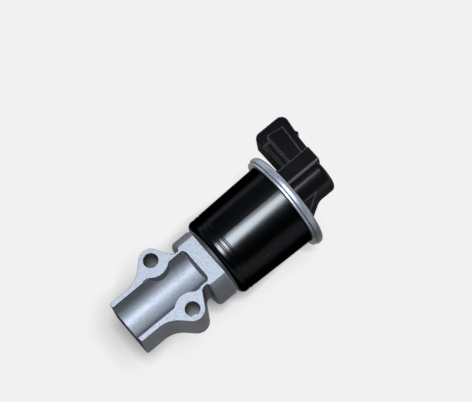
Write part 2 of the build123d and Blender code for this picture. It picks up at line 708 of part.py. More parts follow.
def deck():
    """Flat-topped block between the round tower and the socket."""
    half = TOWER_RADIUS + DECK_RISE
    body = block(
        (CAP_FLANGE_END_X, DECK_START_Y, AXIS_HEIGHT - half),
        (DECK_END_X, DECK_END_Y, AXIS_HEIGHT + half),
    )
    long_edges = body.edges().filter_by(Axis.X).group_by(Axis.Y)[0]
    return fillet(long_edges, DECK_EDGE)


def socket_plan():
    """Plan of the connector, with the latch nub and a flared mouth on its +X side."""
    nub_end_y = SOCKET_STEP_Y + SOCKET_NUB_WIDTH
    nub_middle_y = SOCKET_STEP_Y + SOCKET_NUB_WIDTH / 2
    points = [
        (SOCKET_START_X, DECK_START_Y),
        (SOCKET_START_X, SOCKET_MOUTH_Y),
        (SOCKET_END_X, SOCKET_MOUTH_Y),
        (SOCKET_NECK_X, nub_end_y),
        (SOCKET_NUB_X, nub_middle_y + SOCKET_NUB_FLAT / 2),
        (SOCKET_NUB_X, nub_middle_y - SOCKET_NUB_FLAT / 2),
        (SOCKET_WAIST_X, SOCKET_STEP_Y),
        (SOCKET_REAR_END_X, DECK_END_Y),
        (SOCKET_REAR_END_X, DECK_START_Y),
    ]
    mouth = SOCKET_MOUTH_CORNER
    nub = SOCKET_NUB_CORNER
    radii = [0, mouth, mouth, SOCKET_NECK_CORNER, nub, nub, nub, 0, 0]
    return make_face(FilletPolyline(*points, radius=radii, close=True))


def socket_shroud():
    """Outer form of the connector, well rounded along its free side."""
    half = SOCKET_HALF_HEIGHT
    envelope = block(
        (SOCKET_START_X, DECK_START_Y, AXIS_HEIGHT - half),
        (SOCKET_END_X, SOCKET_MOUTH_Y, AXIS_HEIGHT + half),
    )
    free = envelope.edges().filter_by(Axis.Y).group_by(Axis.X)[0]
    envelope = fillet(free, SOCKET_FREE_EDGE)
    latched = envelope.edges().filter_by(Axis.Y).group_by(Axis.X)[-1]
    envelope = fillet(latched, SOCKET_LATCH_EDGE)
    return Pos(0, 0, AXIS_HEIGHT) * extrude(socket_plan(), amount=half, both=True) & envelope


def latch_pad():
    """Raised pad and rib on the socket's upper wall, with a groove between them."""
    top = AXIS_HEIGHT + SOCKET_HALF_HEIGHT
    root_y = DECK_END_Y - OVERSHOOT
    narrow, wide = LATCH_PAD_WIDTHS
    plan = Polyline(
        (LATCH_PAD_X, root_y),
        (LATCH_PAD_X, LATCH_PAD_END_Y - LATCH_PAD_CORNER),
        (LATCH_PAD_X + LATCH_PAD_CORNER, LATCH_PAD_END_Y),
        (LATCH_PAD_X + wide, LATCH_PAD_END_Y - LATCH_PAD_SLANT),
        (LATCH_PAD_X + narrow, root_y),
        close=True,
    )
    pad = Pos(0, 0, top - OVERSHOOT) * extrude(make_face(plan), amount=LATCH_PAD_RISE + OVERSHOOT)
    pad = chamfer(pad.faces().sort_by(Axis.Z)[-1].edges(), LATCH_PAD_EDGE)
    rib_end_x = LATCH_PAD_X - LATCH_SLOT_WIDTH
    rib = block(
        (rib_end_x - LATCH_RIB_WIDTH, root_y, top - OVERSHOOT),
        (rib_end_x, LATCH_RIB_END_Y, top + LATCH_RIB_RISE),
    )
    rib = fillet(rib.faces().sort_by(Axis.Z)[-1].edges().filter_by(Axis.Y), LATCH_PAD_EDGE)
    return pad + rib


def latch_slot():
    """Groove sunk between the pad and the rib."""
    top = AXIS_HEIGHT + SOCKET_HALF_HEIGHT
    return block(
        (LATCH_PAD_X - LATCH_SLOT_WIDTH, DECK_END_Y, top - LATCH_SLOT_DEPTH),
        (LATCH_PAD_X, LATCH_RIB_END_Y, top + LATCH_PAD_RISE),
    )


def socket_cavity():
    """Space that the plug goes into."""
    half = SOCKET_HALF_HEIGHT - SOCKET_WALL
    cavity = block(
        (SOCKET_START_X + SOCKET_WALL, SOCKET_FLOOR_Y, AXIS_HEIGHT - half),
        (SOCKET_REAR_END_X - SOCKET_WALL, SOCKET_MOUTH_Y, AXIS_HEIGHT + half),
    )
    return fillet(cavity.edges().filter_by(Axis.Y), SOCKET_CAVITY_CORNER)


def connector_cap():
    """One moulding: round cap, deck and side socket."""
    cap = cap_body() + deck() + socket_shroud() + latch_pad()
    cap = cap - latch_slot() - socket_cavity()
    cap = cap - disc(POLE_FLANGE_END_X, SENSOR_BORE_END_X, SENSOR_BORE_RADIUS)
    for z in lead_heights():
        cap = cap - rod_along_x(POLE_FLANGE_END_X, LEAD_END_X, LEAD_RADIUS + SLIDING_FIT, LEAD_CIRCLE_Y, z)
    for x in blade_places():
        cap = cap - blade(x)
    return cap


def blade_places():
    """Places of the contact blades along the socket."""
    middle_x = (SOCKET_START_X + SOCKET_REAR_END_X) / 2
    return [middle_x + (i - (BLADE_COUNT - 1) / 2) * BLADE_PITCH for i in range(BLADE_COUNT)]


def blade(x):
    """One flat contact blade with a bevelled tip."""
    body = block(
        (x - BLADE_WIDTH / 2, BLADE_ROOT_Y, AXIS_HEIGHT - BLADE_THICKNESS / 2),
        (x + BLADE_WIDTH / 2, BLADE_TIP_Y, AXIS_HEIGHT + BLADE_THICKNESS / 2),
    )
    tip = body.faces().sort_by(Axis.Y)[-1]
    return chamfer(tip.edges(), BLADE_TIP_BEVEL)


def connector_pins():
    """All the contact blades."""
    return Compound(children=[blade(x) for x in blade_places()])


def coil_leads():
    """Two pins that carry current from the spool into the cap."""
    leads = []
    for z in lead_heights():
        leads.append(rod_along_x(LEAD_START_X, LEAD_END_X, LEAD_RADIUS, LEAD_CIRCLE_Y, z))
    return Compound(children=leads)


def sensor_rod():
    """Push rod that rests on the stem and carries the sensor's carriage."""
    return disc(STEM_END_X, CARRIAGE_START_X + CARRIAGE_SOCKET_DEPTH, SENSOR_ROD_RADIUS)


def sensor_carriage():
    """Plastic carriage with a flat for the wiper."""
    body = turned(
        (CARRIAGE_START_X, SENSOR_ROD_RADIUS),
        (CARRIAGE_START_X + CARRIAGE_SOCKET_DEPTH, SENSOR_ROD_RADIUS),
        (CARRIAGE_START_X + CARRIAGE_SOCKET_DEPTH, 0),
        (CARRIAGE_END_X, 0),
        (CARRIAGE_END_X, CARRIAGE_RADIUS),
        (CARRIAGE_START_X, CARRIAGE_RADIUS),
    )
    above = block(
        (CARRIAGE_START_X, -CARRIAGE_RADIUS, AXIS_HEIGHT + CARRIAGE_FLAT),
        (CARRIAGE_END_X, CARRIAGE_RADIUS, AXIS_HEIGHT + CARRIAGE_RADIUS),
    )
    return body - above


def sensor_wiper():
    """Bent contact strip between the carriage and the resistor card."""
    low = AXIS_HEIGHT + CARRIAGE_FLAT
    high = AXIS_HEIGHT + CARD_HEIGHT - SEATING_GAP
    foot_x = CARRIAGE_START_X + CARRIAGE_LENGTH / 2
    tip_x = CARRIAGE_END_X - WIPER_THICKNESS
    strip = Polyline(
        (CARRIAGE_START_X, 0, low),
        (foot_x, 0, low),
        (tip_x, 0, high - WIPER_THICKNESS),
        (tip_x, 0, high),
        (foot_x - WIPER_THICKNESS, 0, low + WIPER_THICKNESS),
        (CARRIAGE_START_X, 0, low + WIPER_THICKNESS),
        close=True,
    )
    return extrude(make_face(strip), amount=WIPER_WIDTH / 2, both=True)


def sensor_card():
    """Ceramic card with the resistor track, held under the housing's flat."""
    low = AXIS_HEIGHT + CARD_HEIGHT
    return block(
        (CARD_START_X, -CARD_HALF_WIDTH, low),
        (HOUSING_END_X - HOUSING_END_WALL, CARD_HALF_WIDTH, low + CARD_THICKNESS),
    )


def sensor_spring():
    """Light spring that keeps the push rod on the stem."""
    return coil_spring(
        CARRIAGE_END_X,
        HOUSING_END_X - HOUSING_END_WALL,
        SENSOR_SPRING_RADIUS,
        SENSOR_SPRING_WIRE_RADIUS,
        SENSOR_SPRING_TURNS,
    )


def sensor_housing():
    """Cup in the cap's bore, with a flat roof over the resistor card."""
    end_x = HOUSING_END_X - HOUSING_END_WALL
    inner = HOUSING_RADIUS - HOUSING_WALL
    cavity = disc(POLE_FLANGE_END_X, end_x, inner)
    roof = block(
        (POLE_FLANGE_END_X, -inner, AXIS_HEIGHT + CARD_HEIGHT + CARD_THICKNESS),
        (end_x, inner, AXIS_HEIGHT + inner),
    )
    return disc(POLE_FLANGE_END_X, HOUSING_END_X, HOUSING_RADIUS) - (cavity - roof)


PARTS = {
    "base_casting": base_casting,
    "valve_seat": valve_seat,
    "pintle": pintle,
    "stem_clip": stem_clip,
    "stem_shield": stem_shield,
    "stem_bushing": stem_bushing,
    "stem_seal": stem_seal,
    "pole_plate": pole_plate,
    "can_screws": can_screws,
    "solenoid_can": solenoid_can,
    "coil_cushion": coil_cushion,
    "pole_sleeve": pole_sleeve,
    "guide_tube": guide_tube,
    "armature": armature,
    "return_spring": return_spring,
    "upper_pole": upper_pole,
    "bobbin": bobbin,
    "coil_winding": coil_winding,
    "crimp_ring": crimp_ring,
    "cap_seal": cap_seal,
    "connector_cap": connector_cap,
    "connector_pins": connector_pins,
    "coil_leads": coil_leads,
    "sensor_rod": sensor_rod,
    "sensor_carriage": sensor_carriage,
    "sensor_wiper": sensor_wiper,
    "sensor_card": sensor_card,
    "sensor_spring": sensor_spring,
    "sensor_housing": sensor_housing,
}

os.makedirs("parts", exist_ok=True)
for name, make in PARTS.items():
    export_step(make(), "parts/" + name + ".step")
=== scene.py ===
import json
import math

import bmesh
import bpy
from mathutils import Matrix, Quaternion, Vector

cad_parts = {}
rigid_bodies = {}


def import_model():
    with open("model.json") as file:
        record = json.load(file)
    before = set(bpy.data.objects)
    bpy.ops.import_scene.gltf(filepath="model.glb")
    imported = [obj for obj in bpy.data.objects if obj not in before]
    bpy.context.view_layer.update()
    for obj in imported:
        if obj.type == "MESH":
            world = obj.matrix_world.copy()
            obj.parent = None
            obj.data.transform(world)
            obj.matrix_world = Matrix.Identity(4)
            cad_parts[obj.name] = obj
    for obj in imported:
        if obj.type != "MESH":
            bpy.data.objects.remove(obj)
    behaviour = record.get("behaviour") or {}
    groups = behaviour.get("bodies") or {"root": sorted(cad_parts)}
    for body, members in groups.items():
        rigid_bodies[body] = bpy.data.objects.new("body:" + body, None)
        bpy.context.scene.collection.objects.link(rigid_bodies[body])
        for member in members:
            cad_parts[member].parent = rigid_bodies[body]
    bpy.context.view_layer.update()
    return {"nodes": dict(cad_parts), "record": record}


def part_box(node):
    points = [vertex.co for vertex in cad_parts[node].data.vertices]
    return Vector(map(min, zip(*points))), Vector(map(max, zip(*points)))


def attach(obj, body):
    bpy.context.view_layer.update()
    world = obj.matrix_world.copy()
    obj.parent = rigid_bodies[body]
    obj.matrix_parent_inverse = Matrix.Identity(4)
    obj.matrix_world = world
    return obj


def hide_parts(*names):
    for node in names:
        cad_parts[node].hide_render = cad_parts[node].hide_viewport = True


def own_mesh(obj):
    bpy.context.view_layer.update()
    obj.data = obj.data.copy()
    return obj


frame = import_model()
nodes = frame["nodes"]

# The record gives its holes in millimetres
MM = 0.001

# Camera, as fitted to the photograph, in metres and degrees
CAMERA_PLACE = Vector((-0.0865, -0.2784, 0.9874))
CAMERA_TARGET = Vector((0.0584, 0.0137, 0.028))
CAMERA_ROLL_DEG = -14.28
FOCAL_LENGTH_MM = 137.3
SENSOR_WIDTH_MM = 36.0
CLIP_NEAR = 0.05
CLIP_FAR = 20.0

# Soft lamp overhead
LAMP_PLACE = Vector((-0.04, -0.09, 1.30))
LAMP_TARGET = Vector((0.03, 0.0, 0.0))
LAMP_WIDTH = 0.60
LAMP_LENGTH = 0.66
LAMP_WATTS = 16.0

# Room: its dim light, and the heights, as sines, between which its white backdrop fades out in gloss
ROOM_STRENGTH = 0.08
BACKDROP_LOW = 0.15
BACKDROP_HIGH = 0.35

# Table, the point of the can that stands on it, and the painted shade that the valve puts on it
TABLE_REACH = 2.0
CAN_FOOT = Vector((0.0325, 0.0, -0.0142))
CONTACT_REACH = 0.0095
CONTACT_LEAN = (0.55, -0.05, 0.83)
CONTACT_POWER = 1.6
SHADE_REACH = 0.021
SHADE_LEAN = (0.35, -0.85, 0.40)
SHADE_POWER = 1.15

# Near edge of the cap's deck, and how far the painted highlight along it reaches
DECK_EDGE_Y = 0.0034
DECK_EDGE_Z = 0.0236
HIGHLIGHT_INNER = 0.0003
HIGHLIGHT_OUTER = 0.0011

# Heights between which the drilled bolt holes are painted darker towards their mouths, as painted shade
BORE_DEEP_Z = 0.006
BORE_MOUTH_Z = 0.022

# How far off the drilled bolt holes' walls and the open end their painted light and shade start to fade,
# and where they end
PAINT_FADE_INNER = 0.0001
PAINT_FADE_OUTER = 0.0003

# Most values of a noise pattern lie between these
NOISE_LOW = 0.3
NOISE_HIGH = 0.7

# Blasted alloy and moulded plastic shine less than polished faces do
LOW_SHINE_IOR = 1.28

# Roughness of the dull faces
END_ROUGHNESS = 1.0
WALL_ROUGHNESS = 0.95
TABLE_ROUGHNESS = 0.9

# Merging and shading of a copied mesh
MERGE_DISTANCE = 0.000001
SHARP_DEG = 40.0

# Colours, as linear red, green and blue
BLACK = (0.0, 0.0, 0.0, 1.0)
PAPER_WHITE = (0.88, 0.88, 0.88, 1.0)
TABLE_GREY = (0.12, 0.12, 0.12, 1.0)
ROOM_BLUE = (0.55, 0.62, 0.72, 1.0)
ALLOY = (0.525, 0.595, 0.71, 1.0)
ALLOY_DARK = (0.43, 0.495, 0.60, 1.0)
ALLOY_GRAIN = (0.27, 0.31, 0.37, 1.0)
ALLOY_EDGE_WEAR_AND_HIGHLIGHT = (0.72, 0.78, 0.86, 1.0)
# painted shade on the casting's upright walls
PAINTED_WALL_SHADE = (0.145, 0.155, 0.175, 1.0)
CAST_PITS = (0.10, 0.11, 0.12, 1.0)
# drilled bore walls, their colour partly painted light; painted shade at their mouths
DRILLED_BORE_PAINTED_LIGHT = (0.60, 0.60, 0.64, 1.0)
BORE_MOUTH_PAINTED_SHADE = (0.06, 0.06, 0.07, 1.0)
# painted shade on the casting's open end
PAINTED_END_SHADE = (0.055, 0.059, 0.068, 1.0)
CAN_BLACK = (0.050, 0.0555, 0.061, 1.0)
CAN_BLACK_WORN = (0.058, 0.064, 0.070, 1.0)
CAN_FLANK_PAINTED_SHADE = (0.012, 0.013, 0.0145, 1.0)
CAN_SCRATCH = (0.10, 0.108, 0.116, 1.0)
CAN_GLANCE = (0.03, 0.03, 0.03, 1.0)
RING_STEEL = (0.70, 0.80, 0.95, 1.0)
RING_STEEL_DARK = (0.56, 0.65, 0.79, 1.0)
RING_FLANK_PAINTED_SHADE = (0.065, 0.076, 0.094, 1.0)
RING_GRAIN = (0.24, 0.28, 0.35, 1.0)
MOULDED_BLACK = (0.004, 0.004, 0.006, 1.0)
MOULDED_BLACK_WORN = (0.008, 0.008, 0.010, 1.0)
MOULDED_EDGE_WEAR_AND_HIGHLIGHT = (0.15, 0.155, 0.17, 1.0)
# painted highlight along the near edge of the cap's deck
DECK_EDGE_PAINTED_HIGHLIGHT = (0.110, 0.114, 0.124, 1.0)
PLATE_STEEL = (0.09, 0.105, 0.125, 1.0)
PLATE_STEEL_DARK = (0.06, 0.07, 0.085, 1.0)
STAINLESS = (0.55, 0.55, 0.55, 1.0)
STAINLESS_DARK = (0.46, 0.46, 0.47, 1.0)
BRONZE = (0.50, 0.30, 0.12, 1.0)
BRONZE_DARK = (0.40, 0.24, 0.10, 1.0)
COPPER = (0.55, 0.20, 0.08, 1.0)
COPPER_DARK = (0.42, 0.14, 0.05, 1.0)
TINNED_BRASS = (0.66, 0.60, 0.46, 1.0)
TINNED_BRASS_DARK = (0.56, 0.52, 0.42, 1.0)
RUBBER_BLACK = (0.012, 0.012, 0.012, 1.0)
RUBBER_BLACK_DARK = (0.008, 0.008, 0.008, 1.0)
SPOOL_GREY = (0.05, 0.05, 0.05, 1.0)
SPOOL_GREY_DARK = (0.03, 0.03, 0.03, 1.0)
HOUSING_GREY = (0.08, 0.08, 0.07, 1.0)
HOUSING_GREY_DARK = (0.05, 0.05, 0.045, 1.0)
CERAMIC = (0.72, 0.69, 0.62, 1.0)
CERAMIC_DARK = (0.62, 0.60, 0.54, 1.0)

# Finishes of the small and the hidden pieces, by material slot
PLAIN_FINISHES = {
    "plated_steel": dict(colours=(PLATE_STEEL_DARK, PLATE_STEEL), roughness=(0.50, 0.60), metallic=0.7),
    "stainless": dict(colours=(STAINLESS_DARK, STAINLESS), roughness=(0.22, 0.34), metallic=1.0),
    "bronze": dict(colours=(BRONZE_DARK, BRONZE), roughness=(0.40, 0.55), metallic=0.9),
    "copper_winding": dict(colours=(COPPER_DARK, COPPER), roughness=(0.25, 0.35), metallic=0.8),
    "contact_metal": dict(colours=(TINNED_BRASS_DARK, TINNED_BRASS), roughness=(0.25, 0.35), metallic=1.0),
    "seal_rubber": dict(colours=(RUBBER_BLACK_DARK, RUBBER_BLACK), roughness=(0.60, 0.75), bump=0.4),
    "spool_plastic": dict(colours=(SPOOL_GREY_DARK, SPOOL_GREY), roughness=(0.45, 0.55)),
    "sensor_plastic": dict(colours=(HOUSING_GREY_DARK, HOUSING_GREY), roughness=(0.45, 0.55)),
    "card_ceramic": dict(colours=(CERAMIC_DARK, CERAMIC), roughness=(0.30, 0.40)),
}


def join(tree, output, node, socket):
    """Joins an output socket to one of a node's inputs."""
    tree.links.new(output, node.inputs[socket])


def calculated(tree, operation, first, second=None):
    """Result of one Math node on one or two values, each an output socket or a plain number."""
    node = tree.nodes.new("ShaderNodeMath")
    node.operation = operation
    for index, value in enumerate((first, second)):
        if isinstance(value, float):
            node.inputs[index].default_value = value
        elif value is not None:
            join(tree, value, node, index)
    return node.outputs["Value"]


def span(tree, value, low, high, from_low=NOISE_LOW, from_high=NOISE_HIGH):
    """Number that goes from low to high as another goes over its own span."""
    node = tree.nodes.new("ShaderNodeMapRange")
    node.inputs["From Min"].default_value = from_low
    node.inputs["From Max"].default_value = from_high
    node.inputs["To Min"].default_value = low
    node.inputs["To Max"].default_value = high
    join(tree, value, node, "Value")
    return node.outputs["Result"]


def opposite(tree, mask):
    """Mask that is 1 where another is 0."""
    return calculated(tree, "SUBTRACT", 1.0, mask)


def coordinates(tree, kind="Object"):
    """Place of a point of the surface in the model's frame, or another of its coordinates."""
    return tree.nodes.new("ShaderNodeTexCoord").outputs[kind]


def split(tree, vector):
    """X, Y and Z of a vector, by name."""
    node = tree.nodes.new("ShaderNodeSeparateXYZ")
    join(tree, vector, node, "Vector")
    return node.outputs


def noise(tree, place, scale, detail, roughness=0.5):
    """Value of a noise pattern, from 0 to 1."""
    node = tree.nodes.new("ShaderNodeTexNoise")
    node.inputs["Detail"].default_value = detail
    node.inputs["Roughness"].default_value = roughness
    join(tree, place, node, "Vector")
    join(tree, scale, node, "Scale")
    return node.outputs["Fac"]


def distance_in_plane(tree, first, second, centre):
    """Distance of two coordinates from a centre in their plane."""
    here = tree.nodes.new("ShaderNodeCombineXYZ")
    join(tree, first, here, "X")
    join(tree, second, here, "Y")
    reach = tree.nodes.new("ShaderNodeVectorMath")
    reach.operation = "DISTANCE"
    reach.inputs[1].default_value = (*centre, 0.0)
    join(tree, here.outputs["Vector"], reach, 0)
    return reach.outputs["Value"]


def effect_group(name, inputs, outputs):
    """New shader group with float inputs and outputs: the group, what it is given, and its end node."""
    group = bpy.data.node_groups.new(name, "ShaderNodeTree")
    for label, value in inputs.items():
        socket = group.interface.new_socket(label, in_out="INPUT", socket_type="NodeSocketFloat")
        socket.default_value = value
    for label in outputs:
        group.interface.new_socket(label, in_out="OUTPUT", socket_type="NodeSocketFloat")
    given = group.nodes.new("NodeGroupInput").outputs
    end = group.nodes.new("NodeGroupOutput")
    return group, given, end


def grain_group():
    """Fine skin of a blasted, cast or moulded surface: a height, and slow patches from 0 to 1."""
    inputs = {"Scale": 900.0, "Patch Scale": 40.0}
    group, given, end = effect_group("surface_grain", inputs, ["Height", "Patches"])
    place = coordinates(group)
    join(group, noise(group, place, given["Scale"], detail=4.0, roughness=0.6), end, "Height")
    join(group, noise(group, place, given["Patch Scale"], detail=3.0), end, "Patches")
    return group


def scratch_group():
    """Sparse short scratches and dust specks: one mask for both, from 0 to 1."""
    group, given, end = effect_group("scratches_and_dust", {"Scale": 60.0, "Amount": 0.5}, ["Mask"])
    place = coordinates(group)
    lines = group.nodes.new("ShaderNodeMapping")
    lines.inputs["Scale"].default_value = (1.0, 9.0, 9.0)
    lines.inputs["Rotation"].default_value = (0.4, 0.2, 0.5)
    join(group, place, lines, "Vector")
    streaks = noise(group, lines.outputs["Vector"], given["Scale"], detail=2.0)
    streak_mask = span(group, streaks, 0.0, 1.0, from_low=0.66, from_high=0.72)
    specks = group.nodes.new("ShaderNodeTexVoronoi")
    specks.inputs["Randomness"].default_value = 1.0
    join(group, place, specks, "Vector")
    join(group, given["Scale"], specks, "Scale")
    speck_mask = span(group, specks.outputs["Distance"], 0.0, 1.0, from_low=0.09, from_high=0.03)
    both = calculated(group, "MAXIMUM", streak_mask, speck_mask)
    join(group, calculated(group, "MULTIPLY", both, given["Amount"]), end, "Mask")
    return group


def edge_group():
    """Worn and highlighted edges: one mask that is 1 on a corner and 0 on open faces, for edge wear and a
    painted edge highlight.
    """
    group, given, end = effect_group("worn_and_highlighted_edges", {"Radius": 0.0005, "Amount": 1.0}, ["Mask"])
    rounded = group.nodes.new("ShaderNodeBevel")
    rounded.samples = 6
    face = group.nodes.new("ShaderNodeNewGeometry")
    likeness = group.nodes.new("ShaderNodeVectorMath")
    likeness.operation = "DOT_PRODUCT"
    join(group, given["Radius"], rounded, "Radius")
    join(group, rounded.outputs["Normal"], likeness, 0)
    join(group, face.outputs["Normal"], likeness, 1)
    turned = span(group, likeness.outputs["Value"], 0.0, 1.0, from_low=0.995, from_high=0.90)
    join(group, calculated(group, "MULTIPLY", turned, given["Amount"]), end, "Mask")
    return group


def level_group():
    """Level faces: a mask that is 1 on what faces straight up or down, and 0 on upright walls."""
    group, given, end = effect_group("level_faces", {"From": 0.8, "To": 0.99}, ["Mask"])
    normal = split(group, coordinates(group, "Normal"))
    graded = group.nodes.new("ShaderNodeMapRange")
    graded.interpolation_type = "SMOOTHSTEP"
    join(group, calculated(group, "ABSOLUTE", normal["Z"]), graded, "Value")
    join(group, given["From"], graded, "From Min")
    join(group, given["To"], graded, "From Max")
    join(group, graded.outputs["Result"], end, "Mask")
    return group


GRAIN = grain_group()
SCRATCHES = scratch_group()
LEVEL = level_group()
EDGES = edge_group()


def place_group(tree, group, **values):
    """Places an effect group in a material with its own values, and gives its outputs."""
    node = tree.nodes.new("ShaderNodeGroup")
    node.node_tree = group
    for label, value in values.items():
        node.inputs[label.replace("_", " ")].default_value = value
    return node.outputs


def between(tree, mask, low, high):
    """Colour that goes from low to high with a mask, where low is a colour or an output socket."""
    mix = tree.nodes.new("ShaderNodeMix")
    mix.data_type = "RGBA"
    if isinstance(low, tuple):
        mix.inputs["A"].default_value = low
    else:
        join(tree, low, mix, "A")
    mix.inputs["B"].default_value = high
    join(tree, mask, mix, "Factor")
    return mix.outputs["Result"]


def finish_with(name, colours, roughness, metallic=0.0, grain=900.0, patch=40.0, bump=0.2, depth=0.00002):
    """Material with patches between two colours and two roughness values, and a fine grain."""
    material = bpy.data.materials.new(name)
    material.use_nodes = True
    tree = material.node_tree
    shader = tree.nodes["Principled BSDF"]
    shader.inputs["Metallic"].default_value = metallic
    skin = place_group(tree, GRAIN, Scale=grain, Patch_Scale=patch)
    join(tree, between(tree, skin["Patches"], *colours), shader, "Base Color")
    join(tree, span(tree, skin["Patches"], *roughness), shader, "Roughness")
    relief = tree.nodes.new("ShaderNodeBump")
    relief.inputs["Strength"].default_value = bump
    relief.inputs["Distance"].default_value = depth
    join(tree, skin["Height"], relief, "Height")
    join(tree, relief.outputs["Normal"], shader, "Normal")
    return material


def overlay(material, mask, colour):
    """Lays a colour over a material's base colour where a mask is 1."""
    tree = material.node_tree
    shader = tree.nodes["Principled BSDF"]
    below = shader.inputs["Base Color"].links[0].from_socket
    join(tree, between(tree, mask, below, colour), shader, "Base Color")


def duller(material, mask, roughness):
    """Raises a material's roughness where a mask is 1."""
    tree = material.node_tree
    shader = tree.nodes["Principled BSDF"]
    below = shader.inputs["Roughness"].links[0].from_socket
    raised = calculated(tree, "MULTIPLY", mask, roughness)
    join(tree, calculated(tree, "MAXIMUM", below, raised), shader, "Roughness")


def spotted(material, height, colour, amount, low, high):
    """Spots of a colour, up to an amount, where a fine grain rises from low to high."""
    spots = span(material.node_tree, height, 0.0, amount, from_low=low, from_high=high)
    overlay(material, spots, colour)


def paint_flank_shade(material, colour, start, end):
    """Paints shade in a colour on a material's walls, fading out between two steps from upright, 0, to
    level, 1.
    """
    level = place_group(material.node_tree, LEVEL, From=start, To=end)["Mask"]
    overlay(material, opposite(material.node_tree, level), colour)


def bolt_bores(tree, point):
    """Mask of the drilled walls of the two bolt holes, which lie one each side of the axis."""
    holes = next(mount for mount in frame["record"]["mounts"] if mount["name"] == "bolt_holes")
    radius = holes["dims"]["hole_r_mm"] * MM
    centre = (0.0, holes["dims"]["spacing_y_mm"] / 2 * MM)
    side = calculated(tree, "ABSOLUTE", point["Y"])
    reach = distance_in_plane(tree, point["X"], side, centre)
    return span(tree, reach, 1.0, 0.0, radius + PAINT_FADE_INNER, radius + PAINT_FADE_OUTER)


def blasted_alloy():
    """Aluminium casting: bluish blasted flats, painted shade on its walls and open end, light and shade
    painted in its bolt holes, and brighter worn and highlighted edges.
    """
    material = finish_with(
        "blasted_alloy",
        colours=(ALLOY_DARK, ALLOY),
        roughness=(0.50, 0.60),
        metallic=0.42,
        grain=1400.0,
        patch=55.0,
        bump=0.35,
        depth=0.00006,
    )
    tree = material.node_tree
    tree.nodes["Principled BSDF"].inputs["IOR"].default_value = LOW_SHINE_IOR
    speckle = place_group(tree, GRAIN, Scale=1700.0, Patch_Scale=200.0)["Height"]
    spotted(material, speckle, ALLOY_GRAIN, amount=0.32, low=0.44, high=0.64)
    # painted shade: the upright walls are coloured darker than the level flats
    paint_flank_shade(material, PAINTED_WALL_SHADE, start=0.55, end=1.0)
    spotted(material, speckle, CAST_PITS, amount=0.26, low=0.46, high=0.62)
    # the bolt holes' walls are lighter, partly for their drilled finish and partly as painted light, and
    # painted shade darkens them towards their mouths
    point = split(tree, coordinates(tree))
    drilled = bolt_bores(tree, point)
    overlay(material, drilled, DRILLED_BORE_PAINTED_LIGHT)
    shallow = span(tree, point["Z"], 0.0, 1.0, BORE_DEEP_Z, BORE_MOUTH_Z)
    mouth_shade = calculated(tree, "MULTIPLY", drilled, shallow)
    overlay(material, mouth_shade, BORE_MOUTH_PAINTED_SHADE)
    edges = place_group(tree, EDGES, Radius=0.0006, Amount=0.7)["Mask"]
    # the edges are lighter, partly from wear and partly as a painted highlight
    overlay(material, edges, ALLOY_EDGE_WEAR_AND_HIGHLIGHT)
    # painted shade: the open end is coloured dark, and made dull
    end_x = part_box("base_casting")[0].x
    end_shade = span(tree, point["X"], 1.0, 0.0, end_x + PAINT_FADE_INNER, end_x + PAINT_FADE_OUTER)
    overlay(material, end_shade, PAINTED_END_SHADE)
    duller(material, end_shade, END_ROUGHNESS)
    return material


def gloss_coating():
    """Gloss black coating of the can, with painted shade on its flanks, faint waves, scratches and dust."""
    material = finish_with(
        "gloss_coating",
        colours=(CAN_BLACK, CAN_BLACK_WORN),
        roughness=(0.17, 0.23),
        metallic=1.0,
        grain=160.0,
        patch=30.0,
        bump=0.06,
        depth=0.00004,
    )
    tree = material.node_tree
    tree.nodes["Principled BSDF"].inputs["Specular Tint"].default_value = CAN_GLANCE
    # painted shade: the can's flanks are coloured darker to dim their reflections
    paint_flank_shade(material, CAN_FLANK_PAINTED_SHADE, start=0.78, end=0.96)
    marks = place_group(tree, SCRATCHES, Scale=110.0, Amount=0.25)["Mask"]
    overlay(material, marks, CAN_SCRATCH)
    return material


def rolled_ring_steel():
    """Dull plated steel of the crimp ring, with painted shade on its flanks."""
    material = finish_with(
        "rolled_ring_steel",
        colours=(RING_STEEL_DARK, RING_STEEL),
        roughness=(0.35, 0.43),
        metallic=0.72,
        grain=1100.0,
        patch=90.0,
        bump=0.5,
        depth=0.00007,
    )
    speckle = place_group(material.node_tree, GRAIN, Scale=1500.0, Patch_Scale=200.0)["Height"]
    spotted(material, speckle, RING_GRAIN, amount=0.35, low=0.44, high=0.62)
    # painted shade: the ring's flanks are coloured darker than its crown
    paint_flank_shade(material, RING_FLANK_PAINTED_SHADE, start=0.28, end=1.0)
    return material


def moulded_black():
    """Black glass-filled plastic of the cap, with a fine eroded skin, worn and highlighted edges, and a
    painted highlight along the deck's near edge.
    """
    material = finish_with(
        "moulded_black",
        colours=(MOULDED_BLACK, MOULDED_BLACK_WORN),
        roughness=(0.17, 0.23),
        grain=1500.0,
        patch=70.0,
        bump=0.10,
        depth=0.00003,
    )
    tree = material.node_tree
    tree.nodes["Principled BSDF"].inputs["IOR"].default_value = LOW_SHINE_IOR
    # the upright walls keep the mould's eroded texture, and are duller than the tops
    tops = place_group(tree, LEVEL, From=0.30, To=0.80)["Mask"]
    duller(material, opposite(tree, tops), WALL_ROUGHNESS)
    edges = place_group(tree, EDGES, Radius=0.0008, Amount=0.9)["Mask"]
    # the edges are lighter, partly from wear and partly as a painted highlight
    overlay(material, edges, MOULDED_EDGE_WEAR_AND_HIGHLIGHT)
    # painted highlight: the deck's near edge is coloured grey along its whole length
    point = split(tree, coordinates(tree))
    reach = distance_in_plane(tree, point["Y"], point["Z"], (DECK_EDGE_Y, DECK_EDGE_Z))
    deck_highlight = span(tree, reach, 1.0, 0.0, HIGHLIGHT_INNER, HIGHLIGHT_OUTER)
    overlay(material, deck_highlight, DECK_EDGE_PAINTED_HIGHLIGHT)
    return material


